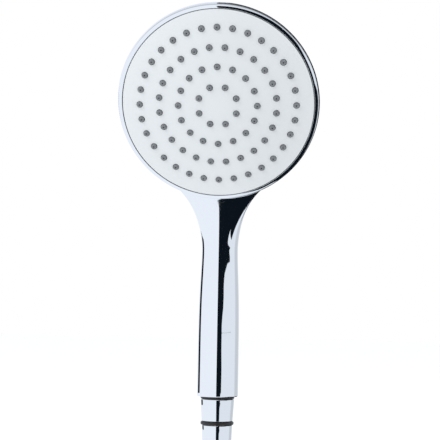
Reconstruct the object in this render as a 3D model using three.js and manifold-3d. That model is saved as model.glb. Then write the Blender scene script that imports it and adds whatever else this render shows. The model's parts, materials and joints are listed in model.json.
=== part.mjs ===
// Handheld shower head with one spray, a round head on a straight handle, and a swivel connector below it.
// Millimetres. The origin is the centre of the handle's lower end, +Z runs up the handle and -Y is the spray side.
import * as THREE from "three";
import { mergeVertices } from "three/addons/utils/BufferGeometryUtils.js";
import Module from "manifold-3d";

const wasm = await Module();
wasm.setup();

// ---------- driving dimensions ----------
const clearance = 0.3; // between pieces that touch or slide on each other
const wall = 2.4; // thickness of the moulded outer casing

// Head
const headDiameter = 140;
const headTilt = THREE.MathUtils.degToRad(24); // the face leans forward from the handle's axis by this
const faceCurveRadius = 461; // the face is a very shallow dome
const facePlateThickness = 2.2;
const bezelWidth = 3.4;
const bezelGap = 0.5; // dark line between the face plate and the bezel
const rimEdgeDepth = 4.24; // from the edge of the face back to the casing's edge
const rimForward = 13.3; // the casing's lowest rim point, ahead of the handle's axis
const rimRise = 36.3; // the casing's lowest rim point, above the narrowest part of the neck

// Handle
const handleEndRadius = 14.6;
const handleEndWall = 3.4;
const neckRadius = 12.9;
const neckHeight = 104;
const collarHeight = 18; // ring inside the handle that the nipple's clip rests on
const collarThickness = 2.4;

// Nozzles: the number in each ring, from the middle out
const nozzleCounts = [8, 16, 24, 32];
const nozzleHalfSteps = [0.5, 0, 0.5, 0]; // a ring with 0.5 has two nozzles beside the top line
const innerNozzleRing = 13.85;
const nozzleEdgeMargin = 12; // from the outer ring to the edge of the face plate
const nozzleBaseRadius = 2.0;
const nozzleTipRadius = 1.35;
const nozzleBoreRadius = 0.55;
const nozzleProtrusion = 2.0;
const matThickness = 1.8;
const matMargin = 2.7; // from the outer ring to the edge of the mat

// Spray base behind the mat
const chamberEdgeDepth = 2.09; // water space between the mat and the base, at the mat's edge
const baseThickness = 2.0;
const chamberSealSection = 1.1;
const screwCount = 6;
const screwEdgeMargin = 4.8; // from the screws to the edge of the face plate
const screwShankRadius = 1.4;
const screwHeadRadius = 2.6;
const screwHeadHeight = 1.8;
const screwLength = 6.8;
const bossWall = 1.0;
const lugCount = 3;
const lugAngle = THREE.MathUtils.degToRad(22);
const lugThickness = 1.6;
const lugMargin = 2.5; // from the lugs' tips to the casing's inner skin at its edge
const ribCount = 6;
const ribMargin = 12.7; // from the ribs' ends to the edge of the base

// Water way
const tubeRadius = 5.6;
const tubeWall = 1.4;
const elbowBend = 6.4; // radius of the turn into the spray base
const neckBend = 60; // radius of the turn in the neck
const elbowRise = 8.0; // from the back of the base's hub to the channel's middle line
const leanRange = [15, 35].map(THREE.MathUtils.degToRad); // from the handle's axis, between the two turns
const tubeStart = 18;
const tubeTopDrop = 4; // from the narrowest part of the neck down to the top of the tube
const socketDepth = 12;
const socketWall = 1.1;
const sealSection = 1.3; // the O-rings on the tube's ends

// Inlet nipple and G1/2 threads
const threadMajorRadius = 10.4775;
const threadDepth = 1.162;
const threadPitch = 1.8143;
const threadLength = 9.0;
const threadClearance = 0.38;
const nippleFlangeThickness = 1.2;
const nippleNeckWall = 0.8; // round the tube's lower seal
const nippleEndHeight = 32;
const limiterBoreEnd = -4.6;
const valveBoreEnd = 11.3;
const clipThickness = 1.0;
const nippleSealHeight = 6;

// Check valve and flow limiter, in the nipple
const valveStart = -3; // height of the check valve's lower end
const valveRadius = 7.2;
const valveWall = 1.8;
const valveSeatRadius = 3.5;
const valveSeatThickness = 1.8;
const poppetRadius = 4.4;
const poppetThickness = 1.7;
const poppetLift = 2.5;
const poppetStemRadius = 1.1;
const guideHeight = 8;
const guideThickness = 2;
const springWire = 0.4;
const springRadius = 2.3;
const springTurns = 4;
const limiterMargin = 1.6; // from the limiter's edge to the root of the nipple's thread
const limiterThickness = 2;
const limiterDepth = 4.6;

// Swivel connector
const nutLength = 15.5;
const nutWall = 1.52; // outside the thread's crests, at the top
const nutTaper = 0.95;
const nutLip = 2.3;
const bearingThickness = 2.2;
const bearingStep = 0.25; // in from the top of the nut
const stemStep = 0.9; // in from the bearing ring
const stemTaper = 0.5;
const stemLength = 13;
const reliefLength = 1.3;
const insertFlangeMargin = 0.2; // lets the insert's flange pass the nipple's thread root
const insertFlangeWidth = 2.3;
const insertWall = 2.4;
const insertFlangeThickness = 1.8;
const insertSealSection = 1.0;
const washerThickness = 1.8;
const washerBoreRadius = 6.2;
const shoulderDrop = 9.8; // from the stem's top to the shoulder over the circlip
const swivelClipWidth = 1.1; // of the circlip, outside the insert

// ---------- dimensions that follow ----------
const headRadius = headDiameter / 2;
const faceRadius = headRadius - bezelWidth - bezelGap;
const outerNozzleRing = faceRadius - nozzleEdgeMargin;
const sag = (r) => faceCurveRadius - Math.sqrt(faceCurveRadius ** 2 - r ** 2);
const rimDepth = sag(faceRadius) + rimEdgeDepth;

// Centre of the face, and the directions of the head: outwards from the face, and up along it.
const faceNormal = new THREE.Vector3(0, -Math.cos(headTilt), -Math.sin(headTilt));
const faceUp = new THREE.Vector3(0, -Math.sin(headTilt), Math.cos(headTilt));
const rimBottom = new THREE.Vector3(0, -rimForward, neckHeight + rimRise);
const faceCentre = rimBottom
  .clone()
  .addScaledVector(faceUp, headRadius)
  .addScaledVector(faceNormal, rimDepth);

// Depths behind the middle of the face, and radii there
const matFront = facePlateThickness + clearance;
const matBack = matFront + matThickness;
const matRadius = outerNozzleRing + matMargin;
const baseFront = matBack + sag(matRadius) + chamberEdgeDepth;
const baseBack = baseFront + baseThickness;
const hubBack = baseBack + 2.3;
const screwCircle = faceRadius - screwEdgeMargin;
const pilotRadius = screwShankRadius + clearance;
const bossRadius = pilotRadius + bossWall;
const baseRadius = screwCircle + bossRadius;
const lugDepth = rimDepth + 0.2;
const tubeBoreRadius = tubeRadius - tubeWall;
const passRadius = tubeRadius + clearance;
const sealSeatRadius = tubeRadius + sealSection + 2 * clearance;
const socketRadius = sealSeatRadius + socketWall;
const elbowDepth = hubBack + elbowRise;

// Radii along the handle and the connector
const boreRadius = handleEndRadius - handleEndWall;
const nippleBodyRadius = boreRadius - 2 * clearance;
const nippleNeckRadius = sealSeatRadius + nippleNeckWall;
const collarBoreRadius = nippleNeckRadius + clearance;
const threadMinorRadius = threadMajorRadius - threadDepth;
const nutTopRadius = threadMajorRadius + nutWall;
const nutEndRadius = nutTopRadius - nutTaper;
const limiterRadius = threadMinorRadius - limiterMargin;
const valveInnerRadius = valveRadius - valveWall;
const bearingRadius = nutTopRadius - bearingStep;
const stemTopRadius = bearingRadius - stemStep;
const stemEndRadius = stemTopRadius - stemTaper;
const insertFlangeRadius = threadMinorRadius - insertFlangeMargin;
const insertRadius = insertFlangeRadius - insertFlangeWidth;
const insertBoreRadius = insertRadius - insertWall;
const swivelClipRadius = insertRadius + swivelClipWidth;
const hoseBoreRadius = swivelClipRadius + clearance;

// Heights along the handle
const tubeEnd = neckHeight - tubeTopDrop;
const flangeEnd = -clearance - nippleFlangeThickness;
const threadEnd = flangeEnd - threadLength;
const washerTop = threadEnd - clearance;
const insertTop = washerTop - washerThickness - clearance;
const nutTop = flangeEnd - clearance;
const nutEnd = nutTop - nutLength;
const bearingTop = nutEnd - clearance;
const bearingEnd = bearingTop - bearingThickness;
const stemTop = bearingEnd - clearance;
const stemEnd = stemTop - stemLength;
const hoseEnd = stemEnd - reliefLength - threadLength;
const shoulderHeight = stemTop - shoulderDrop;
const insertEnd = shoulderHeight - clearance - clipThickness - 1;

// ---------- materials ----------
const finish = (color, roughness, metalness) =>
  new THREE.MeshStandardMaterial({ color, roughness, metalness });
const chrome = finish(0xe4e7ea, 0.06, 1);
const faceWhite = finish(0xe3e6ea, 0.3, 0);
const silicone = finish(0x6f757a, 0.55, 0);
const whitePlastic = finish(0xdfe1e0, 0.5, 0);
const blackPlastic = finish(0x14161a, 0.4, 0);
const rubber = finish(0x1c1d1f, 0.7, 0);
const steel = finish(0xb9bdc1, 0.3, 1);
const brass = finish(0xc9a45c, 0.3, 1);

// ---------- helpers ----------
const shower = new THREE.Group();
const head = new THREE.Group(); // its +Z points out of the face, and its origin is the middle of the face
head.position.copy(faceCentre);
head.rotation.x = Math.PI / 2 + headTilt;
shower.add(head);

// A closed geometry as a solid.
function solid(geometry) {
  const bare = geometry.index ? geometry.toNonIndexed() : geometry.clone();
  for (const name of Object.keys(bare.attributes)) {
    if (name !== "position") bare.deleteAttribute(name);
  }
  const merged = mergeVertices(bare, 1e-4);
  const index = merged.index.array;
  const corners = [];
  for (let i = 0; i < index.length; i += 3) {
    const [a, b, c] = [index[i], index[i + 1], index[i + 2]];
    if (a !== b && b !== c && c !== a) corners.push(a, b, c);
  }
  const vertProperties = new Float32Array(merged.attributes.position.array);
  const build = (list) =>
    new wasm.Manifold(new wasm.Mesh({ numProp: 3, vertProperties, triVerts: new Uint32Array(list) }));
  const made = build(corners);
  return made.volume() < 0 ? build(corners.reverse()) : made;
}

// Adds a solid to a group as a named mesh.
function piece(name, shape, material, group = shower) {
  const { vertProperties, triVerts } = shape.getMesh();
  const geometry = new THREE.BufferGeometry()
    .setAttribute("position", new THREE.BufferAttribute(vertProperties, 3))
    .setIndex(new THREE.BufferAttribute(triVerts, 1));
  geometry.computeVertexNormals();
  const mesh = new THREE.Mesh(geometry, material);
  mesh.name = name;
  group.add(mesh);
}

// Lists n + 1 values from a to b.
const steps = (a, b, n) => Array.from({ length: n + 1 }, (_, i) => a + ((b - a) * i) / n);

// n directions round a circle, from the given one.
const turns = (n, from = 0) => Array.from({ length: n }, (_, i) => from + (i / n) * 2 * Math.PI);

const onCircle = (radius, angleList) => angleList.map((a) => [radius * Math.cos(a), radius * Math.sin(a)]);

// A profile of [radius, height] points turned about +Z. A ring's profile is closed on itself.
function turned(profile, segments = 24, closed = false) {
  const points = profile.map(([r, z]) => new THREE.Vector2(r, z));
  if (closed) points.push(points[0].clone());
  return solid(new THREE.LatheGeometry(points, segments).rotateX(Math.PI / 2));
}

const ring = (inner, outer, low, high, segments = 24) =>
  turned([[inner, low], [outer, low], [outer, high], [inner, high]], segments, true);

const disc = (radius, low, high, segments = 24) =>
  turned([[0, low], [radius, low], [radius, high], [0, high]], segments);

const block = (width, depth, height, x, y, z) =>
  solid(new THREE.BoxGeometry(width, depth, height).translate(x, y, z));

// An O-ring: a round section of the given diameter, turned on its mean radius.
function sealRing(meanRadius, section, height, segments = 18) {
  const profile = turns(5).map((a) => [
    meanRadius + (section / 2) * Math.cos(a),
    height + (section / 2) * Math.sin(a),
  ]);
  return turned(profile, segments, true);
}

// A closed surface through loops of points. With wrap the last loop joins the first, otherwise both are capped.
function skinned(loops, wrap = false) {
  const position = [];
  const triangle = (...corners) => corners.forEach((p) => position.push(p.x, p.y, p.z));
  const count = wrap ? loops.length : loops.length - 1;
  for (let i = 0; i < count; i++) {
    const low = loops[i];
    const high = loops[(i + 1) % loops.length];
    low.forEach((p, j) => {
      const k = (j + 1) % low.length;
      triangle(p, low[k], high[k]);
      triangle(p, high[k], high[j]);
    });
  }
  const cap = (loop) => loop.slice(2).forEach((p, j) => triangle(loop[0], loop[j + 1], p));
  if (!wrap) {
    cap([...loops[0]].reverse());
    cap(loops[loops.length - 1]);
  }
  const attribute = new THREE.Float32BufferAttribute(position, 3);
  return solid(new THREE.BufferGeometry().setAttribute("position", attribute));
}

// The ridge of a right-handed thread between two heights. It fades in and out over a part of a turn.
function threadRidge(rootRadius, crestRadius, low, high, rootWidth, crestWidth) {
  const perTurn = 12;
  const count = Math.round(((high - low) / threadPitch) * perTurn);
  const loops = steps(0, count, count).map((i) => {
    const a = (i / perTurn) * 2 * Math.PI;
    const z = low + (i / perTurn) * threadPitch;
    const grow = Math.min(1, (i + 0.5) / 5, (count - i + 0.5) / 5);
    const crest = rootRadius + (crestRadius - rootRadius) * grow;
    const corner = (radius, dz) => new THREE.Vector3(radius * Math.cos(a), radius * Math.sin(a), z + dz);
    const inside = rootRadius - 0.5;
    return [
      corner(inside, -rootWidth / 2),
      corner(crest, -crestWidth / 2),
      corner(crest, crestWidth / 2),
      corner(inside, rootWidth / 2),
    ];
  });
  return skinned(loops);
}

// The part of a solid within half the given angle of a direction, seen along Z.
function wedge(shape, direction, angle, reach) {
  const outline = new THREE.Shape();
  outline.moveTo(0, 0);
  for (const a of steps(direction - angle / 2, direction + angle / 2, 4)) {
    outline.lineTo(reach * Math.cos(a), reach * Math.sin(a));
  }
  const sector = new THREE.ExtrudeGeometry(outline, { depth: 80, bevelEnabled: false });
  return shape.intersect(solid(sector.translate(0, 0, -60)));
}

// A retaining ring: flat, open on one side and with an eye at each end.
function openRing(inner, outer, low, high) {
  const gap = block(outer, 3.2, high - low + 1, outer, 0, (low + high) / 2);
  return ring(inner, outer, low, high, 20).subtract(gap);
}

// Cuts a ring-shaped groove from a solid.
const grooved = (shape, inner, outer, low, high, segments = 24) =>
  shape.subtract(ring(inner, outer, low, high, segments));

// ---------- casing ----------
const casingSegments = 32;
const angles = turns(casingSegments);

// A point of the casing's outer skin: angle runs round the handle from the front, share from the neck to the rim.
function flarePoint(angle, share) {
  const rimAngle = angle + 0.2 * Math.sin(angle);
  const back = (1 - Math.cos(rimAngle)) / 2;
  const start = new THREE.Vector3(neckRadius * Math.sin(angle), -neckRadius * Math.cos(angle), neckHeight);
  const end = rimBottom
    .clone()
    .addScaledVector(faceUp, headRadius * (1 - Math.cos(rimAngle)))
    .add(new THREE.Vector3(headRadius * Math.sin(rimAngle), 0, 0));
  const rise = 30 + 30 * back;
  const set = (rimDepth - 1) * (1 - 0.8 * (1 - back) ** 12) + 16 * back * (1.7 - 0.7 * back);
  const curve = new THREE.CubicBezierCurve3(
    start,
    start.clone().add(new THREE.Vector3(0, 0, rise)),
    end.clone().addScaledVector(faceNormal, -set),
    end,
  );
  return curve.getPoint(share);
}

// The outer skin moved inwards by the wall's thickness.
function flareInside(angle, share) {
  const small = 1e-3;
  const across = flarePoint(angle + small, share).sub(flarePoint(angle - small, share));
  const along = flarePoint(angle, share).sub(flarePoint(angle, share - small));
  return flarePoint(angle, share).addScaledVector(along.cross(across).normalize(), wall);
}

// Radius of the straight handle at a height: nearly even from its lower end, it draws in to the neck near the top.
function handleRadius(z) {
  const share = z / neckHeight;
  return handleEndRadius - (handleEndRadius - neckRadius) * share ** 6 * (7 - 6 * share);
}

const circle = (radius, z) =>
  angles.map((a) => new THREE.Vector3(radius * Math.sin(a), -radius * Math.cos(a), z));

const flareShares = [0, 0.15, 0.3, 0.42, 0.54, 0.65, 0.76, 0.86, 0.94, 1];

function casing() {
  const outside = [
    circle(handleEndRadius - 0.8, 0),
    circle(handleRadius(0.8), 0.8),
    ...[0.4, 0.62, 0.76, 0.88].map((share) => circle(handleRadius(share * neckHeight), share * neckHeight)),
    ...flareShares.map((share) => angles.map((a) => flarePoint(a, share))),
  ];
  const inside = [
    circle(boreRadius, 0),
    circle(boreRadius, nippleEndHeight),
    circle(handleRadius(60) - wall, 60),
    ...flareShares.map((share) => angles.map((a) => flareInside(a, share || 1e-3))),
  ];
  let shell = skinned([...outside, ...inside.reverse()], true);
  shell = shell.add(ring(collarBoreRadius, boreRadius + 1, collarHeight, collarHeight + collarThickness));
  const hookRing = ring(baseRadius + clearance, headRadius - wall / 2, -lugDepth - lugThickness, -lugDepth, 40);
  head.updateMatrix();
  for (const turn of turns(lugCount, Math.PI / 2)) {
    const hook = wedge(hookRing, turn, lugAngle, 2 * headRadius);
    shell = shell.add(hook.transform(head.matrix.toArray()));
  }
  return shell;
}

piece("body_shell", casing(), chrome);

// ---------- spray face ----------
// Positions of all the nozzles on the face, as [x, y].
const nozzles = nozzleCounts.flatMap((count, i) => {
  const share = i / (nozzleCounts.length - 1);
  const radius = innerNozzleRing + (outerNozzleRing - innerNozzleRing) * share;
  return onCircle(radius, turns(count, Math.PI / 2 + (nozzleHalfSteps[i] / count) * 2 * Math.PI));
});
const nozzleSides = 5;
const screwPlaces = onCircle(screwCircle, turns(screwCount));

// Profile points along the dome, at a depth behind it, from the middle to a radius.
const domeLine = (depth, radius, count) => steps(0, radius, count).map((r) => [r, -sag(r) - depth]);

// Equal prisms that stand at the given places on the dome, as one solid of many.
function posts(places, lowRadius, highRadius, low, high, sides) {
  const shape = new THREE.CylinderGeometry(highRadius, lowRadius, high - low, sides).rotateX(Math.PI / 2);
  const made = places.map(([x, y]) => {
    const z = (low + high) / 2 - sag(Math.hypot(x, y));
    return solid(shape).translate([x, y, z]);
  });
  return wasm.Manifold.compose(made);
}

function facePlate() {
  const front = domeLine(0, faceRadius, 3);
  const back = domeLine(facePlateThickness, faceRadius, 3);
  const holeRadius = nozzleBaseRadius + clearance;
  let plate = turned([...back, ...front.reverse()], casingSegments);
  plate = plate.subtract(posts(nozzles, holeRadius, holeRadius, -5, 3, nozzleSides));
  const top = -sag(screwCircle) - facePlateThickness + 0.5;
  for (const [x, y] of screwPlaces) {
    const boss = disc(bossRadius, -baseFront + clearance, top, 10);
    const pilot = disc(pilotRadius, -baseFront - 1, top + 0.5, 10);
    plate = plate.add(boss.translate([x, y, 0])).subtract(pilot.translate([x, y, 0]));
  }
  return plate;
}

function nozzleMat() {
  const front = domeLine(matFront, matRadius, 3);
  const back = domeLine(matBack, matRadius, 3);
  let mat = turned([...back, ...front.reverse()], 24);
  const root = -matFront - 0.4;
  mat = mat.add(posts(nozzles, nozzleBaseRadius, nozzleTipRadius, root, nozzleProtrusion, nozzleSides));
  return mat.subtract(posts(nozzles, nozzleBoreRadius, nozzleBoreRadius, -matBack - 1, nozzleProtrusion + 1, 3));
}

function bezel() {
  const inner = faceRadius + bezelGap;
  const outer = headRadius - 0.7;
  const lipInner = baseRadius + 2 * clearance;
  const crest = -sag(faceRadius) - 0.3;
  const back = -rimDepth + clearance;
  const lipTop = -sag(faceRadius) - facePlateThickness - clearance;
  const crown = steps(0, Math.PI / 2, 4).map((a) => [
    inner + 0.4 + (outer - inner - 0.4) * Math.sin(a),
    crest + (crest - back - 0.6) * (Math.cos(a) - 1),
  ]);
  const profile = [[lipInner, back], [outer, back], ...crown.reverse()];
  profile.push([inner, crest - 0.4], [inner, lipTop], [lipInner, lipTop]);
  return turned(profile, casingSegments, true);
}

const pocketRadius = matRadius + 0.5;
const sealMean = pocketRadius + chamberSealSection / 2;
const sealLedge = sag(sealMean) + facePlateThickness + chamberSealSection + 2 * clearance;

function sprayBase() {
  const hubRadius = sealSeatRadius + 1.6;
  const profile = [
    [passRadius, -baseBack],
    [sealSeatRadius, -baseBack],
    [sealSeatRadius, -hubBack],
    [hubRadius, -hubBack],
    [hubRadius, -baseBack],
    [baseRadius, -baseBack],
    [baseRadius, -baseFront],
    [passRadius, -baseFront],
  ];
  let base = turned(profile, casingSegments, true);
  // Walls that press on the mat's edge and on the chamber seal
  const press = sag(matRadius) + matBack + clearance;
  base = base.add(ring(matRadius - 2, pocketRadius + 0.5, -baseFront - 0.5, -press, casingSegments));
  const ledgeOuter = sealMean + chamberSealSection / 2;
  base = base.add(ring(pocketRadius, ledgeOuter, -baseFront - 0.5, -sealLedge, casingSegments));
  // Lugs that turn in under the casing's hooks
  const lugTop = -lugDepth - lugThickness - clearance;
  const lugLow = lugTop - lugThickness;
  const lugRoot = ring(baseRadius - 2, baseRadius, lugLow, -baseFront - 0.5, 40);
  const lugRing = ring(baseRadius - 2, headRadius - wall - lugMargin, lugLow, lugTop, 40).add(lugRoot);
  for (const turn of turns(lugCount, Math.PI / 2)) {
    base = base.add(wedge(lugRing, turn, lugAngle - 0.06, 2 * headRadius));
  }
  for (const turn of turns(ribCount)) {
    const start = hubRadius + 0.2;
    const end = baseRadius - ribMargin;
    const rib = block(end - start, 1.6, 3.2, (start + end) / 2, 0, -baseBack - 1.3);
    base = base.add(rib.rotate([0, 0, THREE.MathUtils.radToDeg(turn)]));
  }
  for (const [x, y] of screwPlaces) {
    base = base.subtract(disc(pilotRadius, -baseBack - 1, -baseFront + 1, 10).translate([x, y, 0]));
  }
  return base;
}

function plateScrew() {
  const under = -baseBack - clearance;
  const profile = [
    [0, under - screwHeadHeight],
    [screwHeadRadius * 0.7, under - screwHeadHeight],
    [screwHeadRadius, under - screwHeadHeight * 0.5],
    [screwHeadRadius, under],
    [screwShankRadius, under],
    [screwShankRadius, under + screwLength - 1.6],
    [0, under + screwLength],
  ];
  const slotLow = under - screwHeadHeight;
  const slot = block(screwHeadRadius * 1.2, 0.7, 2, 0, 0, slotLow);
  const cross = slot.add(block(0.7, screwHeadRadius * 1.2, 2, 0, 0, slotLow));
  return turned(profile, 10).subtract(cross);
}

piece("face_bezel", bezel(), chrome, head);
piece("face_plate", facePlate(), faceWhite, head);
piece("nozzle_mat", nozzleMat(), silicone, head);
piece("chamber_seal", sealRing(sealMean, chamberSealSection, chamberSealSection / 2 + clearance - sealLedge, 32), rubber, head);
piece("spray_base", sprayBase(), whitePlastic, head);
screwPlaces.forEach(([x, y], i) => {
  piece(`plate_screw_${i + 1}`, plateScrew().translate([x, y, 0]), steel, head);
});

// ---------- water way ----------
// A tube in the plane x = 0 through stations [point, direction, outer radius, inner radius].
function stationTube(stations, sides = 12) {
  const across = new THREE.Vector3(1, 0, 0);
  const loop = ([point, direction], radius) => {
    const other = direction.clone().cross(across);
    return turns(sides).map((a) =>
      point
        .clone()
        .addScaledVector(across, radius * Math.cos(a))
        .addScaledVector(other, radius * Math.sin(a)),
    );
  };
  const outer = stations.map((s) => loop(s, s[2]));
  const inner = stations.map((s) => loop(s, s[3]));
  return skinned([...outer, ...inner.reverse()], true);
}

const headPoint = (up, depth) => faceCentre.clone().addScaledVector(faceUp, up).addScaledVector(faceNormal, -depth);

// Middle line of the turn into the spray base, at an angle from up the face.
const elbowPoint = (a) => headPoint(elbowBend * (Math.sin(a) - 1), elbowDepth - elbowBend * (1 - Math.cos(a)));

// Middle line of the turn in the neck, as [point, direction], for a lean between the two turns.
function neckTurn(lean) {
  const top = elbowPoint(lean - headTilt);
  const meet = top.z + top.y / Math.tan(lean); // where the leaning part meets the handle's axis
  const bendStart = meet - neckBend * Math.tan(lean / 2);
  return steps(0, lean, 3).map((a) => [
    new THREE.Vector3(0, neckBend * (Math.cos(a) - 1), bendStart + neckBend * Math.sin(a)),
    new THREE.Vector3(0, -Math.sin(a), Math.cos(a)),
  ]);
}

// Points along the casing's inner skins in front and behind, on the straight lines between its loops.
const skins = [0, Math.PI].flatMap((side) => {
  const corners = flareShares.map((share) => flareInside(side, share || 1e-3));
  return corners.slice(1).flatMap((end, i) => steps(0, 1, 6).map((t) => corners[i].clone().lerp(end, t)));
});

// Least distance from the channel's middle line, at a lean, to those skins.
function channelRoom(lean) {
  const points = [...neckTurn(lean).map(([point]) => point), elbowPoint(lean - headTilt)];
  const nearest = new THREE.Vector3();
  const distances = points.slice(1).flatMap((end, i) => {
    const part = new THREE.Line3(points[i], end);
    return skins.map((p) => part.closestPointToPoint(p, true, nearest).distanceTo(p));
  });
  return Math.min(...distances);
}

const channelLean = steps(...leanRange, 100).reduce((a, b) => (channelRoom(b) > channelRoom(a) ? b : a));

const channelRadius = channelRoom(channelLean) - clearance;

// Stations of the channel's middle line, from the top of the tube to the spray base.
function channelStations() {
  const upwards = new THREE.Vector3(0, 0, 1);
  const elbow = [];
  for (const a of steps(channelLean - headTilt, Math.PI / 2, 5)) {
    const direction = faceUp.clone().multiplyScalar(Math.cos(a)).addScaledVector(faceNormal, Math.sin(a));
    elbow.push([elbowPoint(a), direction]);
  }
  const stations = neckTurn(channelLean);
  stations.push(...elbow);
  const low = (z, outer, inner) => [new THREE.Vector3(0, 0, z), upwards, outer, inner];
  const high = (depth, outer) => [headPoint(0, depth), faceNormal, outer, tubeBoreRadius];
  const sealLow = tubeEnd - socketDepth + 2.5;
  const sealHigh = sealLow + sealSection + 2 * clearance;
  const shoulder = tubeEnd + clearance;
  return [
    low(tubeEnd - socketDepth, socketRadius, passRadius),
    low(sealLow, socketRadius, passRadius),
    low(sealLow, socketRadius, sealSeatRadius),
    low(sealHigh, socketRadius, sealSeatRadius),
    low(sealHigh, socketRadius, passRadius),
    low(shoulder, socketRadius, passRadius),
    low(shoulder, socketRadius, tubeBoreRadius),
    low(shoulder + 2, socketRadius, tubeBoreRadius),
    low(shoulder + 5, channelRadius, channelRadius - tubeWall),
    ...stations.map(([point, direction]) => [point, direction, channelRadius, channelRadius - tubeWall]),
    high(hubBack + clearance + 1.1, sealSeatRadius + 1.2),
    high(hubBack + clearance, sealSeatRadius + 1.2),
    high(hubBack + clearance, tubeRadius),
    high(baseFront + clearance, tubeRadius),
  ];
}

const tubeSealMean = tubeRadius + clearance + sealSection / 2;
const tubeSealHigh = tubeEnd - socketDepth + 2.5 + clearance + sealSection / 2;
const tubeSealLow = nippleEndHeight - 4 - clearance - sealSection / 2;

piece("elbow_seal", sealRing(tubeSealMean, sealSection, -(baseBack + hubBack) / 2), rubber, head);
piece("head_elbow", stationTube(channelStations()), whitePlastic);
piece("tube_seal_upper", sealRing(tubeSealMean, sealSection, tubeSealHigh), rubber);
piece("waterway_tube", ring(tubeBoreRadius, tubeRadius, tubeStart, tubeEnd), whitePlastic);
piece("tube_seal_lower", sealRing(tubeSealMean, sealSection, tubeSealLow), rubber);

// ---------- inlet nipple ----------
function maleThread(low, high) {
  const lowest = low + threadPitch * 0.6;
  const highest = high - threadPitch * 0.5;
  return threadRidge(threadMinorRadius, threadMajorRadius, lowest, highest, threadPitch * 0.95, threadPitch * 0.2);
}

const clipHeight = collarHeight + collarThickness + clearance;
const shelfHeight = tubeStart - clearance;

function inletNipple() {
  const profile = [
    [limiterRadius + clearance, threadEnd],
    [threadMinorRadius, threadEnd],
    [threadMinorRadius, flangeEnd],
    [nutTopRadius, flangeEnd],
    [nutTopRadius, -clearance],
    [nippleBodyRadius, -clearance],
    [nippleBodyRadius, collarHeight - clearance],
    [nippleNeckRadius, collarHeight - clearance],
    [nippleNeckRadius, nippleEndHeight],
    [passRadius, nippleEndHeight],
    [passRadius, shelfHeight],
    [tubeBoreRadius, shelfHeight],
    [tubeBoreRadius, valveBoreEnd],
    [valveRadius + clearance, valveBoreEnd],
    [valveRadius + clearance, limiterBoreEnd],
    [limiterRadius + clearance, limiterBoreEnd],
  ];
  const bodySealLow = nippleSealHeight - 0.9;
  let nipple = turned(profile, 24, true);
  nipple = nipple.add(maleThread(threadEnd, flangeEnd));
  nipple = grooved(nipple, nippleBodyRadius - 1.2, 20, bodySealLow, bodySealLow + 1.8);
  nipple = grooved(nipple, nippleNeckRadius - 1.2, 20, clipHeight - 0.2, clipHeight + clipThickness + 0.2);
  const sealCut = ring(tubeRadius, sealSeatRadius, tubeSealLow - 0.95, tubeSealLow + 0.95);
  return nipple.subtract(sealCut);
}

const bodySealMean = boreRadius - clearance - 0.6;
piece("inlet_nipple", inletNipple(), blackPlastic);
piece("nipple_seal", sealRing(bodySealMean, 1.2, nippleSealHeight), rubber);
piece("nipple_clip", openRing(nippleNeckRadius - 1, nippleBodyRadius, clipHeight, clipHeight + clipThickness), steel);

// ---------- flow limiter and check valve ----------
function flowLimiter() {
  const top = limiterBoreEnd - clearance;
  const under = top - limiterThickness;
  const profile = [
    [0, under - 2],
    [2.0, under - 2],
    [2.6, under - 1],
    [2.6, under],
    [limiterRadius - 1.2, under],
    [limiterRadius - 1.2, top - limiterDepth],
    [limiterRadius, top - limiterDepth],
    [limiterRadius, top],
    [0, top],
  ];
  let body = turned(profile, 18);
  for (const [x, y] of onCircle(4.6, turns(6))) {
    body = body.subtract(disc(0.9, under - 1, top + 1, 6).translate([x, y, 0]));
  }
  return body;
}

const sealGrooveLow = valveStart + 4;

function valveHousing() {
  const seatTop = valveStart + valveSeatThickness;
  const profile = [
    [valveSeatRadius, valveStart],
    [valveRadius, valveStart],
    [valveRadius, guideHeight + guideThickness],
    [valveInnerRadius, guideHeight + guideThickness],
    [valveInnerRadius, seatTop],
    [valveSeatRadius + 0.8, seatTop],
    [valveSeatRadius, seatTop - 0.8],
  ];
  return grooved(turned(profile, 18, true), valveRadius - 1.25, 20, sealGrooveLow, sealGrooveLow + 1.6, 18);
}

const poppetLow = valveStart + valveSeatThickness + clearance;
const poppetHigh = poppetLow + poppetThickness;

function poppet() {
  const profile = [
    [0, poppetLow - 0.9],
    [valveSeatRadius - 0.9, poppetLow - 0.6],
    [valveSeatRadius - 0.2, poppetLow],
    [poppetRadius, poppetLow],
    [poppetRadius, poppetHigh],
    [poppetStemRadius, poppetHigh],
    [poppetStemRadius, guideHeight + guideThickness + 0.5],
    [0, guideHeight + guideThickness + 0.5],
  ];
  return turned(profile, 20);
}

function valveGuide() {
  const top = guideHeight + guideThickness;
  const outer = valveInnerRadius - clearance;
  const hole = poppetStemRadius + clearance;
  let guide = ring(outer - 0.8, outer, guideHeight, top).add(ring(hole, hole + 1.2, guideHeight, top, 16));
  for (const turn of turns(3)) {
    const spoke = block(outer - hole - 0.8, 0.9, guideThickness * 0.7, (outer + hole) / 2 + 0.1, 0, guideHeight + 0.7);
    guide = guide.add(spoke.rotate([0, 0, THREE.MathUtils.radToDeg(turn)]));
  }
  return guide;
}

// A coil spring between two heights, its end turns closer than the others.
function valveSpring(low, high) {
  const perTurn = 10;
  const count = springTurns * perTurn;
  const half = springWire / 2;
  const loops = steps(0, 1, count).map((t) => {
    const a = t * springTurns * 2 * Math.PI;
    const rise = t - (0.5 / springTurns) * Math.sin(2 * Math.PI * t) * 0.5;
    const z = low + half + (high - low - springWire) * rise;
    return turns(4).map((b) => {
      const radius = springRadius + half * Math.cos(b);
      return new THREE.Vector3(radius * Math.cos(a), radius * Math.sin(a), z + half * Math.sin(b));
    });
  });
  return skinned(loops);
}

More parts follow.
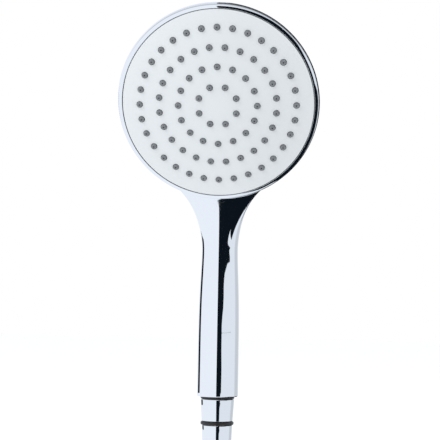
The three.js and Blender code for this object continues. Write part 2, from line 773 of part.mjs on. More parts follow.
const limiterRingHeight = limiterBoreEnd - clearance - limiterThickness - clearance - 0.9;
piece("flow_limiter_body", flowLimiter(), whitePlastic);
piece("flow_limiter_ring", sealRing(4.7, 1.8, limiterRingHeight, 20), rubber);
piece("check_valve_housing", valveHousing(), whitePlastic);
piece("check_valve_seal", sealRing(valveRadius - 0.5, 1.0, sealGrooveLow + 0.8), rubber);
piece("check_valve_poppet", poppet(), blackPlastic);
piece("check_valve_spring", valveSpring(poppetHigh + 0.1, guideHeight - 0.1), steel);
piece("check_valve_guide", valveGuide(), whitePlastic);

// ---------- swivel connector ----------
function swivelNut() {
  const cavityEnd = insertTop - insertFlangeThickness - clearance;
  const cavityRadius = insertFlangeRadius + clearance;
  const bore = threadMinorRadius + threadClearance;
  const lipRadius = insertRadius + clearance;
  const profile = [
    [lipRadius, nutEnd],
    [nutEndRadius - 0.4, nutEnd],
    [nutEndRadius, nutEnd + 0.4],
    [nutTopRadius, nutTop - 0.5],
    [nutTopRadius - 0.5, nutTop],
    [bore + 0.7, nutTop],
    [bore, nutTop - 0.7],
    [bore, threadEnd - 0.5],
    [cavityRadius, threadEnd - 0.5],
    [cavityRadius, cavityEnd],
    [lipRadius, cavityEnd],
  ];
  const ridge = threadRidge(
    threadMinorRadius + threadClearance,
    threadMajorRadius + threadClearance,
    threadEnd - threadPitch * 0.4,
    nutTop + threadPitch * 0.5,
    threadPitch * 1.05,
    threadPitch * 0.45,
  );
  return turned(profile, 24, true).subtract(ridge);
}

function swivelInsert() {
  const under = insertTop - insertFlangeThickness;
  const profile = [
    [insertBoreRadius, insertEnd],
    [insertRadius - 0.5, insertEnd],
    [insertRadius, insertEnd + 0.5],
    [insertRadius, under],
    [insertFlangeRadius, under],
    [insertFlangeRadius, insertTop],
    [insertBoreRadius, insertTop],
  ];
  let insert = turned(profile, 24, true);
  for (const height of insertSealHeights) {
    insert = grooved(insert, insertRadius - 1.2, 20, height - 0.8, height + 0.8);
  }
  const clipTop = shoulderHeight - clearance;
  return grooved(insert, insertRadius - 1.2, 20, clipTop - clipThickness - 0.2, clipTop + 0.2);
}

function filterScreen() {
  const height = washerTop - washerThickness / 2;
  let screen = disc(washerBoreRadius - clearance, height - 0.3, height + 0.3, 18);
  const holes = [...onCircle(4.3, turns(9)), ...onCircle(1.7, turns(3))];
  for (const [x, y] of holes) {
    screen = screen.subtract(disc(0.9, height - 1, height + 1, 6).translate([x, y, 0]));
  }
  return screen;
}

function bearingRing() {
  const inner = insertRadius + clearance;
  const profile = [
    [inner, bearingEnd],
    [bearingRadius - 0.4, bearingEnd],
    [bearingRadius, bearingEnd + 0.4],
    [bearingRadius, bearingTop - 0.4],
    [bearingRadius - 0.4, bearingTop],
    [inner, bearingTop],
  ];
  return turned(profile, 24, true);
}

function swivelStem() {
  const bore = insertRadius + clearance;
  const reliefEnd = stemEnd - reliefLength;
  const profile = [
    [hoseBoreRadius, hoseEnd],
    [threadMinorRadius, hoseEnd],
    [threadMinorRadius, reliefEnd],
    [threadMinorRadius, stemEnd],
    [stemEndRadius - 0.3, stemEnd],
    [stemEndRadius, stemEnd + 0.3],
    [stemTopRadius, stemTop - 0.4],
    [stemTopRadius - 0.4, stemTop],
    [bore, stemTop],
    [bore, shoulderHeight],
    [hoseBoreRadius, shoulderHeight],
  ];
  return turned(profile, 24, true).add(maleThread(hoseEnd, reliefEnd));
}

const insertSealHeights = [stemTop - 2.6, stemTop - 6.4];
const insertSealMean = insertRadius - 0.45;
const clipTop = shoulderHeight - clearance;
piece("swivel_nut", swivelNut(), chrome);
piece("filter_washer", ring(washerBoreRadius, insertFlangeRadius, washerTop - washerThickness, washerTop), rubber);
piece("filter_screen", filterScreen(), steel);
piece("swivel_insert", swivelInsert(), brass);
insertSealHeights.forEach((height, i) => {
  const name = ["swivel_seal_upper", "swivel_seal_lower"][i];
  piece(name, sealRing(insertSealMean, insertSealSection, height), rubber);
});
piece("swivel_clip", openRing(insertRadius - 1, swivelClipRadius, clipTop - clipThickness, clipTop), steel);
piece("bearing_ring", bearingRing(), blackPlastic);
piece("swivel_stem", swivelStem(), chrome);

export default shower;
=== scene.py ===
import json
import math

import bmesh
import bpy
from mathutils import Matrix, Vector


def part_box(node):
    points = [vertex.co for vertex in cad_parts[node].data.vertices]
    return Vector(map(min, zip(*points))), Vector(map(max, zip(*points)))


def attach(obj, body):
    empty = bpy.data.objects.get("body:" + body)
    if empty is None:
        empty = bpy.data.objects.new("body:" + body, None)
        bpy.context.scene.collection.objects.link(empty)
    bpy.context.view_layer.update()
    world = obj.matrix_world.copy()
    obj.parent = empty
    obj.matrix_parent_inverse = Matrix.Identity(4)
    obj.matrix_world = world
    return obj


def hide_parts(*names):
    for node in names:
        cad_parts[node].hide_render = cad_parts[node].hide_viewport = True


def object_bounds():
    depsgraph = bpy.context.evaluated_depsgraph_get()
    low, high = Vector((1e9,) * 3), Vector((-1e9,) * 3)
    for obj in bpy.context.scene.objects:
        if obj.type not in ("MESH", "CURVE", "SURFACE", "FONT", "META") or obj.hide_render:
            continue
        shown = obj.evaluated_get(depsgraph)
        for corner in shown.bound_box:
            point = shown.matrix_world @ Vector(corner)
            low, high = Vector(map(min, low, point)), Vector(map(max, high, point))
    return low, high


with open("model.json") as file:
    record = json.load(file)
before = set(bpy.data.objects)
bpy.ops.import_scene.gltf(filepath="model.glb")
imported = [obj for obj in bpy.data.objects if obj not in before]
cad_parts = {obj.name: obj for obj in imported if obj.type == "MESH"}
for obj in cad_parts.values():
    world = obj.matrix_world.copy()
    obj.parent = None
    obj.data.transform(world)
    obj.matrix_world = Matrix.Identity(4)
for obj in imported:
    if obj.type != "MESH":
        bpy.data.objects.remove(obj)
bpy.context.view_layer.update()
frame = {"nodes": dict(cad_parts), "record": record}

mm = 0.001
turn = 2 * math.pi
scene = bpy.context.scene


view = {
    "place": Vector((62.4, -957.8, 56.2)) * mm,
    "right": Vector((0.9978, 0.0641, 0.0167)),
    "up": Vector((-0.0120, -0.0734, 0.9972)),
    "lens": 109.5,
    "sensor": 36.0,
}


def makeCamera():
    data = bpy.data.cameras.new("camera")
    data.lens = view["lens"]
    data.sensor_width = view["sensor"]
    camera = bpy.data.objects.new("camera", data)
    scene.collection.objects.link(camera)
    right = view["right"].normalized()
    back = right.cross(view["up"]).normalized()
    up = back.cross(right)
    facing = Matrix((right, up, back)).transposed().to_4x4()
    camera.matrix_world = Matrix.Translation(view["place"]) @ facing
    scene.camera = camera


makeCamera()
print("camera done")

# the head leans forward; its own +Z comes out of the spray face, its +Y runs up the face
head = {
    "tilt": math.radians(24),
    "radius": 70 * mm,
    "faceCurve": 461 * mm,
    "rimDepth": 9.0035 * mm,
    "rimForward": 13.3 * mm,
    "neckHeight": 104 * mm,
    "rimRise": 36.3 * mm,
}
faceNormal = Vector((0, -math.cos(head["tilt"]), -math.sin(head["tilt"])))
faceUp = Vector((0, -math.sin(head["tilt"]), math.cos(head["tilt"])))
rimBottom = Vector((0, -head["rimForward"], head["neckHeight"] + head["rimRise"]))
faceCentre = rimBottom + faceUp * head["radius"] + faceNormal * head["rimDepth"]
headTurn = (math.pi / 2 + head["tilt"], 0, 0)
headPlace = Matrix.Translation(faceCentre) @ Matrix.Rotation(headTurn[0], 4, "X")


# how far the domed face falls back at a radius
def sag(r):
    return head["faceCurve"] - math.sqrt(head["faceCurve"] ** 2 - r ** 2)


def steps(a, b, n):
    return [a + (b - a) * i / n for i in range(n + 1)]


def meshPiece(name, verts, faces, material=None, sharp=30):
    mesh = bpy.data.meshes.new(name)
    mesh.from_pydata([tuple(v) for v in verts], [], faces)
    mesh.shade_smooth()
    mesh.set_sharp_from_angle(angle=math.radians(sharp))
    if material:
        mesh.materials.append(material)
    piece = bpy.data.objects.new(name, mesh)
    scene.collection.objects.link(piece)
    return piece


def loopFaces(loopCount, around, wrap):
    faces = []
    for i in range(loopCount if wrap else loopCount - 1):
        low, high = i * around, (i + 1) % loopCount * around
        for j in range(around):
            k = (j + 1) % around
            faces.append((low + j, low + k, high + k, high + j))
    return faces


# how much an edge is rounded, in millimetres
fillet = {"crisp": 0.1, "fine": 0.15, "light": 0.2, "soft": 0.3, "flange": 0.35, "outside": 0.45, "proud": 0.55}


# rounds the corners of a closed profile of (r, z, rounding) points, all in millimetres
def filleted(corners, arcSteps=4):
    points = []
    for i, (r, z, rounding) in enumerate(corners):
        here = Vector((r, z))
        if not rounding:
            points.append(here)
            continue
        before = Vector(corners[i - 1][:2]) - here
        after = Vector(corners[(i + 1) % len(corners)][:2]) - here
        before.normalize()
        after.normalize()
        half = before.angle(after) / 2
        reach = rounding / math.tan(half)
        centre = here + (before + after).normalized() * (rounding / math.sin(half))
        start = here + before * reach - centre
        end = here + after * reach - centre
        swing = start.angle_signed(end)
        for t in steps(0, 1, arcSteps):
            points.append(centre + Matrix.Rotation(-swing * t, 2) @ start)
    return points


# a closed profile turned about Z; points on the axis close to a pole
def turned(name, corners, material, around=128, place=Matrix(), sharp=30):
    profile = [p * mm for p in filleted(corners)]
    area = sum(a.x * b.y - b.x * a.y for a, b in zip(profile, profile[1:] + profile[:1]))
    if area < 0:
        profile.reverse()
    verts = []
    rows = []
    for p in profile:
        if p.x < 1e-9:
            rows.append([len(verts)] * around)
            verts.append(place @ Vector((0, 0, p.y)))
            continue
        rows.append(list(range(len(verts), len(verts) + around)))
        for j in range(around):
            a = turn * j / around
            verts.append(place @ Vector((p.x * math.cos(a), p.x * math.sin(a), p.y)))
    faces = []
    for i, low in enumerate(rows):
        high = rows[(i + 1) % len(rows)]
        for j in range(around):
            k = (j + 1) % around
            quad = [low[j], low[k], high[k], high[j]]
            face = [v for n, v in enumerate(quad) if v not in quad[:n]]  # at a pole two corners are one
            if len(face) > 2:
                faces.append(face)
    return meshPiece(name, verts, faces, material, sharp)


def shaderGroup(name, inputs, outputs):
    group = bpy.data.node_groups.new(name, "ShaderNodeTree")
    for label, kind, value in inputs:
        socket = group.interface.new_socket(label, in_out="INPUT", socket_type=kind)
        if value is not None:
            socket.default_value = value
    for label, kind in outputs:
        group.interface.new_socket(label, in_out="OUTPUT", socket_type=kind)
    return group, group.nodes.new("NodeGroupInput"), group.nodes.new("NodeGroupOutput")


def add(tree, kind, values=None, **settings):
    node = tree.nodes.new(kind)
    for key, value in settings.items():
        setattr(node, key, value)
    for key, value in (values or {}).items():
        if isinstance(value, bpy.types.NodeSocket):
            tree.links.new(value, node.inputs[key])
        else:
            node.inputs[key].default_value = value
    return node


# fine surface grain, as a bump normal
def finishGrain():
    group, source, result = shaderGroup(
        "finishGrain",
        [("Scale", "NodeSocketFloat", 1500.0), ("Height", "NodeSocketFloat", 0.01 * mm),
         ("Detail", "NodeSocketFloat", 3.0)],
        [("Normal", "NodeSocketVector")],
    )
    coords = add(group, "ShaderNodeTexCoord")
    noise = add(group, "ShaderNodeTexNoise", {
        "Vector": coords.outputs["Object"],
        "Scale": source.outputs["Scale"],
        "Detail": source.outputs["Detail"],
        "Roughness": 0.6,
    })
    bump = add(group, "ShaderNodeBump", {
        "Height": noise.outputs["Fac"],
        "Distance": source.outputs["Height"],
        "Strength": 1.0,
    })
    group.links.new(bump.outputs["Normal"], result.inputs["Normal"])
    return group


# broad, faint smears and small dried drops, as a roughness
def handlingMarks():
    group, source, result = shaderGroup(
        "handlingMarks",
        [("Clean", "NodeSocketFloat", 0.04), ("Smeared", "NodeSocketFloat", 0.09),
         ("Drop Size", "NodeSocketFloat", 140.0)],
        [("Roughness", "NodeSocketFloat")],
    )
    coords = add(group, "ShaderNodeTexCoord")
    smear = add(group, "ShaderNodeTexNoise", {
        "Vector": coords.outputs["Object"], "Scale": 22.0, "Detail": 5.0, "Roughness": 0.6,
    })
    broad = add(group, "ShaderNodeMapRange", {
        "Value": smear.outputs["Fac"], "From Min": 0.42, "From Max": 0.78, "To Min": 0.0, "To Max": 0.6,
    })
    drops = add(group, "ShaderNodeTexVoronoi", {
        "Vector": coords.outputs["Object"], "Scale": source.outputs["Drop Size"], "Randomness": 1.0,
    })
    spots = add(group, "ShaderNodeMapRange", {
        "Value": drops.outputs["Distance"], "From Min": 0.16, "From Max": 0.1, "To Min": 0.0, "To Max": 0.25,
    })
    both = add(group, "ShaderNodeMath", {0: broad.outputs["Result"], 1: spots.outputs["Result"]},
               operation="ADD", use_clamp=True)
    mix = add(group, "ShaderNodeMapRange", {
        "Value": both.outputs[0],
        "To Min": source.outputs["Clean"],
        "To Max": source.outputs["Smeared"],
    })
    group.links.new(mix.outputs["Result"], result.inputs["Roughness"])
    return group


# a slow drift between two close colours
def toneDrift():
    group, source, result = shaderGroup(
        "toneDrift",
        [("Light", "NodeSocketColor", None), ("Dark", "NodeSocketColor", None),
         ("Scale", "NodeSocketFloat", 30.0)],
        [("Color", "NodeSocketColor")],
    )
    coords = add(group, "ShaderNodeTexCoord")
    noise = add(group, "ShaderNodeTexNoise", {
        "Vector": coords.outputs["Object"], "Scale": source.outputs["Scale"], "Detail": 4.0,
    })
    mix = add(group, "ShaderNodeMix", {"Factor": noise.outputs["Fac"]}, data_type="RGBA")
    group.links.new(source.outputs["Light"], mix.inputs["A"])
    group.links.new(source.outputs["Dark"], mix.inputs["B"])
    group.links.new(mix.outputs["Result"], result.inputs["Color"])
    return group


# the turning marks of a lathe: very fine rings along Z, as a bump normal
def latheLines():
    group, source, result = shaderGroup(
        "latheLines",
        [("Spacing", "NodeSocketFloat", 0.12 * mm), ("Height", "NodeSocketFloat", 0.001 * mm)],
        [("Normal", "NodeSocketVector")],
    )
    coords = add(group, "ShaderNodeTexCoord")
    parts = add(group, "ShaderNodeSeparateXYZ", {"Vector": coords.outputs["Object"]})
    rings = add(group, "ShaderNodeMath", {0: parts.outputs["Z"], 1: source.outputs["Spacing"]},
                operation="DIVIDE")
    noise = add(group, "ShaderNodeTexNoise", {"W": rings.outputs[0], "Scale": 1.0, "Detail": 2.0},
                noise_dimensions="1D")
    bump = add(group, "ShaderNodeBump", {
        "Height": noise.outputs["Fac"], "Distance": source.outputs["Height"], "Strength": 1.0,
    })
    group.links.new(bump.outputs["Normal"], result.inputs["Normal"])
    return group


grainGroup = finishGrain()
marksGroup = handlingMarks()
driftGroup = toneDrift()
latheGroup = latheLines()


# shine holds the Principled sockets that are the same all over
def newMaterial(name, shine):
    material = bpy.data.materials.new(name)
    material.use_nodes = True
    tree = material.node_tree
    shader = tree.nodes["Principled BSDF"]
    for key, value in shine.items():
        shader.inputs[key].default_value = value
    return material, tree, shader


def useGroup(tree, group, values):
    node = tree.nodes.new("ShaderNodeGroup")
    node.node_tree = group
    for key, value in values.items():
        node.inputs[key].default_value = value
    return node


def finishMaterial(name, look):
    material, tree, shader = newMaterial(name, look["shine"])
    drift = useGroup(tree, driftGroup, look["tone"])
    tree.links.new(drift.outputs["Color"], shader.inputs["Base Color"])
    if "marks" in look:
        marks = useGroup(tree, marksGroup, look["marks"])
        tree.links.new(marks.outputs["Roughness"], shader.inputs["Roughness"])
    if "grain" in look:
        grain = useGroup(tree, grainGroup, look["grain"])
        tree.links.new(grain.outputs["Normal"], shader.inputs["Normal"])
    if "lathe" in look:
        lines = useGroup(tree, latheGroup, look["lathe"])
        tree.links.new(lines.outputs["Normal"], shader.inputs["Normal"])
    return material


looks = {
    "platedCasing": {
        "shine": {"Metallic": 1.0},
        "tone": {"Light": (0.90, 0.915, 0.94, 1), "Dark": (0.87, 0.885, 0.915, 1), "Scale": 12.0},
        "marks": {"Clean": 0.025, "Smeared": 0.06},
        "grain": {"Scale": 260.0, "Height": 0.0006 * mm, "Detail": 1.0},
    },
    "platedBrass": {
        "shine": {"Metallic": 1.0},
        "tone": {"Light": (0.89, 0.905, 0.93, 1), "Dark": (0.85, 0.87, 0.90, 1), "Scale": 40.0},
        "marks": {"Clean": 0.03, "Smeared": 0.08, "Drop Size": 260.0},
        "lathe": {"Spacing": 0.14 * mm, "Height": 0.0004 * mm},
    },
    "faceMoulding": {
        "shine": {"Specular IOR Level": 0.5, "Coat Weight": 0.12, "Coat Roughness": 0.15},
        "tone": {"Light": (0.672, 0.70, 0.715, 1), "Dark": (0.65, 0.68, 0.70, 1), "Scale": 18.0},
        "marks": {"Clean": 0.30, "Smeared": 0.38},
        "grain": {"Scale": 2600.0, "Height": 0.012 * mm, "Detail": 3.0},
    },
    "softSilicone": {
        "shine": {"Specular IOR Level": 0.4, "Sheen Weight": 0.2, "Sheen Roughness": 0.4},
        "tone": {"Light": (0.20, 0.215, 0.23, 1), "Dark": (0.15, 0.16, 0.175, 1), "Scale": 300.0},
        "marks": {"Clean": 0.45, "Smeared": 0.6},
        "grain": {"Scale": 4000.0, "Height": 0.01 * mm, "Detail": 2.0},
    },
    # black nylon for the bearing ring and the inlet nipple; on the nipple the black is partly painted shade,
    # darkening the thin gap between the handle's end and the nut
    "blackNylon": {
        "shine": {"Specular IOR Level": 0.45},
        "tone": {"Light": (0.014, 0.0145, 0.016, 1), "Dark": (0.008, 0.0085, 0.01, 1), "Scale": 200.0},
        "marks": {"Clean": 0.3, "Smeared": 0.45},
        "grain": {"Scale": 2200.0, "Height": 0.015 * mm, "Detail": 3.0},
    },
    "sealRubber": {
        "shine": {"Specular IOR Level": 0.35},
        "tone": {"Light": (0.016, 0.016, 0.017, 1), "Dark": (0.010, 0.010, 0.011, 1), "Scale": 300.0},
        "marks": {"Clean": 0.5, "Smeared": 0.7},
        "grain": {"Scale": 3000.0, "Height": 0.01 * mm, "Detail": 2.0},
    },
    "naturalAcetal": {
        "shine": {"Specular IOR Level": 0.45},
        "tone": {"Light": (0.74, 0.745, 0.73, 1), "Dark": (0.69, 0.70, 0.68, 1), "Scale": 60.0},
        "marks": {"Clean": 0.38, "Smeared": 0.5},
        "grain": {"Scale": 1600.0, "Height": 0.015 * mm, "Detail": 3.0},
    },
    "stainlessSteel": {
        "shine": {"Metallic": 1.0},
        "tone": {"Light": (0.60, 0.61, 0.62, 1), "Dark": (0.52, 0.53, 0.54, 1), "Scale": 120.0},
        "marks": {"Clean": 0.16, "Smeared": 0.3},
        "grain": {"Scale": 2400.0, "Height": 0.004 * mm, "Detail": 3.0},
    },
    "turnedBrass": {
        "shine": {"Metallic": 1.0},
        "tone": {"Light": (0.78, 0.60, 0.30, 1), "Dark": (0.68, 0.50, 0.22, 1), "Scale": 90.0},
        "marks": {"Clean": 0.18, "Smeared": 0.32},
        "lathe": {"Spacing": 0.1 * mm, "Height": 0.002 * mm},
    },
}
finishes = {name: finishMaterial(name, look) for name, look in looks.items()}
slotFinish = {
    "body_chrome": "platedCasing",
    "connector_chrome": "platedBrass",
    "face_white": "faceMoulding",
    "nozzle_silicone": "softSilicone",
    "inner_plastic": "naturalAcetal",
    "black_plastic": "blackNylon",
    "seal_rubber": "sealRubber",
    "stainless": "stainlessSteel",
    "brass": "turnedBrass",
}


# gives every CAD node the finish of its material slot
def dressFrame():
    for row in frame["record"]["subparts"]:
        for holder in frame["nodes"][row["node"]].material_slots:
            holder.material = finishes[slotFinish[row["material_slot"]]]


dressFrame()
print("finishes:", len(finishes))


# a finished piece that takes the place of CAD nodes
def standIn(piece, body, slot, *nodes):
    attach(piece, body)
    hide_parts(*nodes)


casing = {
    "endRadius": 14.6 * mm,
    "endWall": 3.4 * mm,
    "neckRadius": 12.9 * mm,
    "wall": 2.4 * mm,
    "boreTop": 32 * mm,
    "throat": 60 * mm,  # above the bore the inside widens again up to this height
    "lip": 0.8 * mm,  # rounded lower edge
    "chamfer": 0.3 * mm,
    "lead": 0.2,  # the rim is reached a little ahead of the angle round the handle
    "rise": (30 * mm, 30 * mm),  # at the front, and added at the back
    "set": (head["rimDepth"] - 1 * mm, 16 * mm),
    "frontShare": 0.2,  # of the first inset, right at the front
    "around": 200,
    "along": 110,
    "alongHandle": 40,
    "alongInside": 30,
    "lipSteps": 6,
}


# nearly straight low down, drawn in towards the neck
def handleRadius(z):
    t = z / head["neckHeight"]
    drawIn = casing["endRadius"] - casing["neckRadius"]
    return casing["endRadius"] - drawIn * t ** 6 * (7 - 6 * t)


# the skin between the neck (share 0) and the rim (share 1); angle 0 is the front
def flarePoint(angle, share):
    rimAngle = angle + casing["lead"] * math.sin(angle)
    back = (1 - math.cos(rimAngle)) / 2
    radius = casing["neckRadius"]
    start = Vector((radius * math.sin(angle), -radius * math.cos(angle), head["neckHeight"]))
    rim = rimBottom + faceUp * head["radius"] * (1 - math.cos(rimAngle))
    rim += Vector((head["radius"] * math.sin(rimAngle), 0, 0))
    rise = casing["rise"][0] + casing["rise"][1] * back
    front = 1 - (1 - casing["frontShare"]) * (1 - back) ** 12
    inset = casing["set"][0] * front + casing["set"][1] * back * (1.7 - 0.7 * back)
    c1 = start + Vector((0, 0, rise))
    c2 = rim - faceNormal * inset
    s, u = share, 1 - share
    return start * u ** 3 + c1 * (3 * u * u * s) + c2 * (3 * u * s * s) + rim * s ** 3


# the same skin moved in by the wall
def flareInside(angle, share):
    small = 1e-3
    share = max(share, small)
    across = flarePoint(angle + small, share) - flarePoint(angle - small, share)
    along = flarePoint(angle, share) - flarePoint(angle, share - small)
    return flarePoint(angle, share) + along.cross(across).normalized() * casing["wall"]


def makeCasing():
    around = casing["around"]
    angles = steps(0, turn, around)[:-1]

    def circle(radius, z):
        return [Vector((radius * math.sin(a), -radius * math.cos(a), z)) for a in angles]

    end, lip, chamfer = casing["endRadius"], casing["lip"], casing["chamfer"]
    loops = []
    for a in steps(0, math.pi / 2, casing["lipSteps"]):
        loops.append(circle(end - lip * (1 - math.sin(a)), lip * (1 - math.cos(a))))
    heights = steps(lip, head["neckHeight"], casing["alongHandle"])[1:-1]
    loops += [circle(handleRadius(z), z) for z in heights]
    loops += [[flarePoint(a, s) for a in angles] for s in steps(0, 1, casing["along"])]
    loops += [[flareInside(a, s) for a in angles] for s in steps(1, 0, casing["alongInside"])]
    bore, throat = end - casing["endWall"], casing["throat"]
    loops += [circle(handleRadius(throat) - casing["wall"], throat), circle(bore, casing["boreTop"])]
    loops += [circle(bore, chamfer), circle(bore + chamfer, 0)]
    verts = [v for loop in loops for v in loop]
    return meshPiece("casing", verts, loopFaces(len(loops), around, True), finishes["platedCasing"])


standIn(makeCasing(), "handset", "body_chrome", "body_shell")
print("casing done")


# in millimetres
face = {
    "plateRadius": 66.1,
    "plateThickness": 2.2,
    "plateEdge": 0.4,
    "matRadius": 56.8,
    "matThickness": 1.8,
    "matEdge": 0.3,
    "clearance": 0.3,
}
bezel = {
    "gap": 0.5,  # to the face plate
    "outer": 69.3,
    "lipInner": 64.6,
    "sunk": 0.3,  # below the edge of the face plate
    "crown": 0.8,
    "shoulder": 0.9,
    "around": 256,
}
nozzles = {
    "counts": (8, 16, 24, 32),
    "halfSteps": (0.5, 0.0, 0.5, 0.0),
    "innerRing": 13.85 * mm,
    "outerRing": 54.1 * mm,
    "baseRadius": 2.0,
    "tipRadius": 1.35,
    "boreRadius": 0.42,
    "height": 1.95,
    "holeRadius": 2.3,
    "rootDepth": 0.5,
    "tipRound": 0.22,
    "boreRound": 0.28,
    "around": 20,
}


# points of one ring of nozzles on the dome
def ringGroup():
    group = bpy.data.node_groups.new("nozzleRing", "GeometryNodeTree")
    sockets = group.interface
    for label, kind, value in (
        ("Count", "NodeSocketInt", 8),
        ("Radius", "NodeSocketFloat", nozzles["innerRing"]),
        ("Half Step", "NodeSocketFloat", 0.0),
        ("Dome Radius", "NodeSocketFloat", head["faceCurve"]),
    ):
        sockets.new_socket(label, in_out="INPUT", socket_type=kind).default_value = value
    sockets.new_socket("Points", in_out="OUTPUT", socket_type="NodeSocketGeometry")
    source = group.nodes.new("NodeGroupInput")
    result = group.nodes.new("NodeGroupOutput")

    def maths(operation, a, b=None):
        values = {0: a} if b is None else {0: a, 1: b}
        return add(group, "ShaderNodeMath", values, operation=operation).outputs[0]

    index = add(group, "GeometryNodeInputIndex").outputs[0]
    place = maths("ADD", index, source.outputs["Half Step"])
    angle = maths("MULTIPLY", maths("DIVIDE", place, source.outputs["Count"]), turn)
    angle = maths("ADD", angle, math.pi / 2)
    radius = source.outputs["Radius"]
    dome = source.outputs["Dome Radius"]
    inside = maths("SUBTRACT", maths("MULTIPLY", dome, dome), maths("MULTIPLY", radius, radius))
    where = add(group, "ShaderNodeCombineXYZ", {
        "X": maths("MULTIPLY", maths("COSINE", angle), radius),
        "Y": maths("MULTIPLY", maths("SINE", angle), radius),
        "Z": maths("SUBTRACT", maths("SQRT", inside), dome),
    })
    points = add(group, "GeometryNodePoints", {
        "Count": source.outputs["Count"], "Position": where.outputs[0], "Radius": 0.001,
    })
    group.links.new(points.outputs[0], result.inputs["Points"])
    return group


# joins a shape to the mesh at every nozzle, or cuts it out, and sets the result in place on the head
def headTree(name, cut):
    tree = bpy.data.node_groups.new(name, "GeometryNodeTree")
    for label, kind in (
        ("Geometry", "NodeSocketGeometry"), ("Shape", "NodeSocketObject"),
        ("Inner Ring", "NodeSocketFloat"), ("Outer Ring", "NodeSocketFloat"),
        ("Place", "NodeSocketVector"), ("Turn", "NodeSocketVector"),
        ("Material", "NodeSocketMaterial"),
    ):
        tree.interface.new_socket(label, in_out="INPUT", socket_type=kind)
    tree.interface.new_socket("Geometry", in_out="OUTPUT", socket_type="NodeSocketGeometry")
    source = tree.nodes.new("NodeGroupInput")
    result = tree.nodes.new("NodeGroupOutput")
    rings = add(tree, "GeometryNodeJoinGeometry")
    last = len(nozzles["counts"]) - 1
    for i, count in enumerate(nozzles["counts"]):
        radius = add(tree, "ShaderNodeMapRange", {
            "Value": i / last,
            "To Min": source.outputs["Inner Ring"],
            "To Max": source.outputs["Outer Ring"],
        })
        ring = tree.nodes.new("GeometryNodeGroup")
        ring.node_tree = nozzleRing
        ring.inputs["Count"].default_value = count
        ring.inputs["Half Step"].default_value = nozzles["halfSteps"][i]
        tree.links.new(radius.outputs["Result"], ring.inputs["Radius"])
        tree.links.new(ring.outputs["Points"], rings.inputs[0])
    shape = add(tree, "GeometryNodeObjectInfo", {"Object": source.outputs["Shape"]})
    copies = add(tree, "GeometryNodeInstanceOnPoints", {
        "Points": rings.outputs[0], "Instance": shape.outputs["Geometry"],
    })
    real = add(tree, "GeometryNodeRealizeInstances", {0: copies.outputs[0]})
    if cut:
        joined = add(tree, "GeometryNodeMeshBoolean", {
            "Mesh 1": source.outputs["Geometry"], "Mesh 2": real.outputs[0],
        }, operation="DIFFERENCE").outputs["Mesh"]
    else:
        both = add(tree, "GeometryNodeJoinGeometry", {0: source.outputs["Geometry"]})
        tree.links.new(real.outputs[0], both.inputs[0])
        joined = both.outputs[0]
    placed = add(tree, "GeometryNodeTransform", {
        "Geometry": joined,
        "Translation": source.outputs["Place"],
        "Rotation": source.outputs["Turn"],
    })
    dressed = add(tree, "GeometryNodeSetMaterial", {
        "Geometry": placed.outputs[0], "Material": source.outputs["Material"],
    })
    tree.links.new(dressed.outputs[0], result.inputs[0])
    return tree


# runs a node tree on a piece and keeps only the plain mesh
def runTree(piece, tree, values, sharp=30):
    modifier = piece.modifiers.new(tree.name, "NODES")
    modifier.node_group = tree
    sockets = {s.name: s.identifier for s in tree.interface.items_tree if s.in_out == "INPUT"}
    for label, value in values.items():
        modifier[sockets[label]] = value
    depsgraph = bpy.context.evaluated_depsgraph_get()
    depsgraph.update()
    mesh = bpy.data.meshes.new_from_object(piece.evaluated_get(depsgraph), depsgraph=depsgraph)
    piece.modifiers.remove(modifier)
    old = piece.data
    piece.data = mesh
    mesh.name = piece.name
    bpy.data.meshes.remove(old)
    mesh.shade_smooth()
    mesh.set_sharp_from_angle(angle=math.radians(sharp))
    return piece


nozzleRing = ringGroup()


# a closed disc that follows the dome, millimetres, with a rounded edge
def domeDisc(name, depth, thickness, radius, rings, around, edge):
    corners = [(r, -sag(r * mm) / mm - depth, 0) for r in steps(0, radius - edge, rings)]
    rim = -sag(radius * mm) / mm - depth
    corners += [(radius, rim, edge), (radius, rim - thickness, edge * 0.5)]
    corners += [(r, -sag(r * mm) / mm - depth - thickness, 0) for r in steps(radius - edge, 0, rings)]
    return turned(name, corners, None, around)


# what both head trees are given
def headValues(shape, material):
    return {
        "Shape": shape,
        "Inner Ring": nozzles["innerRing"],
        "Outer Ring": nozzles["outerRing"],
        "Place": faceCentre,
        "Turn": headTurn,
        "Material": finishes[material],
    }


def makeFacePlate():
    plate = domeDisc("facePlate", 0, face["plateThickness"], face["plateRadius"], 24, 144, face["plateEdge"])
    hole = nozzles["holeRadius"]
    below, above = -8, 3  # well clear of the plate on both sides
    outline = [(0, below, 0), (hole, below, 0), (hole, above, 0), (0, above, 0)]
    cutter = turned("cutter", outline, None, 24)
    runTree(plate, headTree("nozzleHoles", True), headValues(cutter, "faceMoulding"), 35)
    bpy.data.objects.remove(cutter)
    return plate


def makeNozzleMat():
    depth = face["plateThickness"] + face["clearance"]
    mat = domeDisc("nozzleMat", depth, face["matThickness"], face["matRadius"], 16, 96, face["matEdge"])
    base, tip, bore = nozzles["baseRadius"], nozzles["tipRadius"], nozzles["boreRadius"]
    top, boreRound = nozzles["height"], nozzles["boreRound"]
    root = -depth - nozzles["rootDepth"]
    widen = 0.1
    profile = [
        (bore, root, 0),
        (base + widen, root, 0),
        (base, 0.1, 0),
        (tip + widen, top, nozzles["tipRound"]),
        (bore + boreRound, top, 0.1),
        (bore, top - boreRound, 0.1),
    ]
    nozzle = turned("nozzle", profile, None, nozzles["around"])
    runTree(mat, headTree("nozzles", False), headValues(nozzle, "softSilicone"), 40)
    bpy.data.objects.remove(nozzle)
    return mat


